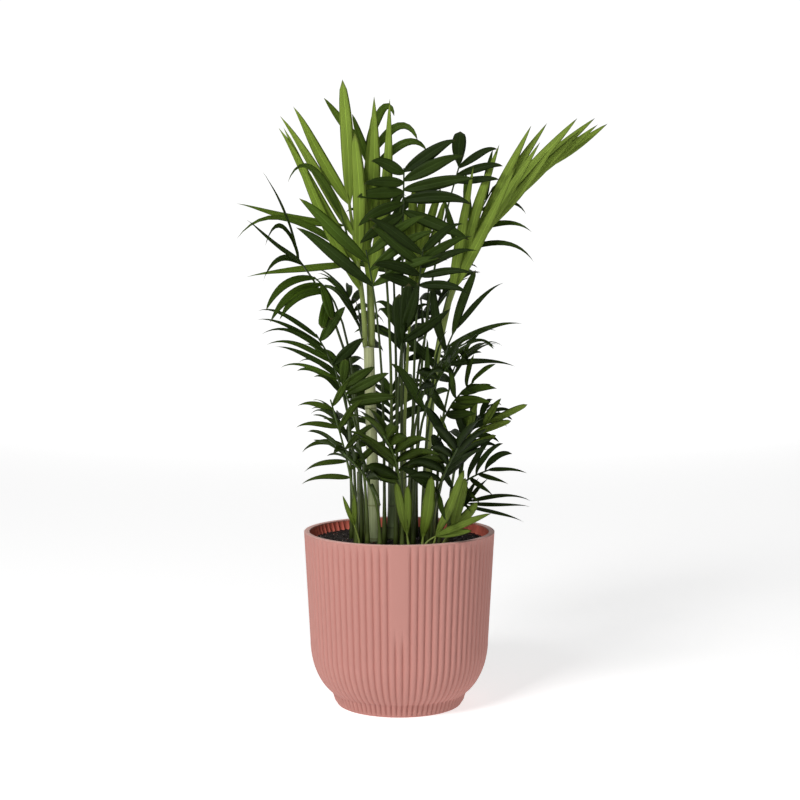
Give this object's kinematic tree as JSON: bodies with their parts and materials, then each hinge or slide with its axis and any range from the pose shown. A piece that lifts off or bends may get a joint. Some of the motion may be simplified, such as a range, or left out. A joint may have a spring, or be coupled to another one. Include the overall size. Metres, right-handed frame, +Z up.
{
  "type": "potted parlour palm",
  "caption": "Young parlour palm clump: slender stalks, arching feather fronds and bright upright young ones, in a round ribbed pot with a footed base, filled with soil.",
  "frame": {"origin": "centre of the pot's flat underside, where the pot rests", "axes": "+Z up along the pot's axis; -Y is the side the picture shows, with +X to its right"},
  "size_m": [0.352, 0.3118, 0.5924],
  "materials": {
    "pot_plastic": "soft matte moulded plastic, dusty pink",
    "soil": "loose dark potting compost",
    "cane_pale": "smooth pale green cane",
    "cane_olive": "olive green cane in its sheaths",
    "leaf_dark": "dark green leaf, faint sheen",
    "leaf_mid": "mid green leaf, faint sheen",
    "leaf_bright": "bright young leaf, faint sheen"
  },
  "bodies": {
    "root": {"pot": "pot_plastic", "soil": "soil", "cane_pale": "cane_pale", "cane_olive": "cane_olive", "cane_dark": "cane_olive", "frond_young_left": "leaf_bright", "frond_side_left": "leaf_mid", "frond_spear": "leaf_bright", "frond_top_back": "leaf_mid", "frond_top_centre": "leaf_dark", "frond_upper_right": "leaf_dark", "frond_behind_right": "leaf_dark", "frond_young_right": "leaf_bright", "frond_left_high": "leaf_dark", "frond_left_droop": "leaf_dark", "frond_cross_left": "leaf_dark", "frond_left_mid": "leaf_dark", "frond_left_low": "leaf_mid", "frond_left_inner": "leaf_mid", "frond_right_mid": "leaf_dark", "frond_right_arch": "leaf_dark", "frond_right_bright": "leaf_mid", "frond_right_inner": "leaf_mid", "frond_right_behind": "leaf_dark", "frond_right_low": "leaf_dark", "frond_right_fan": "leaf_dark", "frond_centre_upper": "leaf_dark", "frond_front_high": "leaf_dark", "frond_front_mid": "leaf_dark", "frond_front_low": "leaf_mid", "frond_front_left": "leaf_mid", "frond_front_right": "leaf_dark", "frond_back_high": "leaf_dark", "frond_back_mid": "leaf_dark", "frond_back_low": "leaf_dark", "frond_back_young": "leaf_bright", "frond_back_left": "leaf_dark", "frond_back_right": "leaf_dark", "frond_back_side_left": "leaf_dark", "frond_back_side_right": "leaf_dark", "frond_back_low_left": "leaf_mid", "frond_back_low_right": "leaf_dark", "shoot_left": "leaf_bright", "shoot_centre": "leaf_bright", "shoot_broad": "leaf_bright", "shoot_right": "leaf_bright", "shoot_wide": "leaf_bright", "shoot_flat": "leaf_bright"}
  },
  "joints": []
}
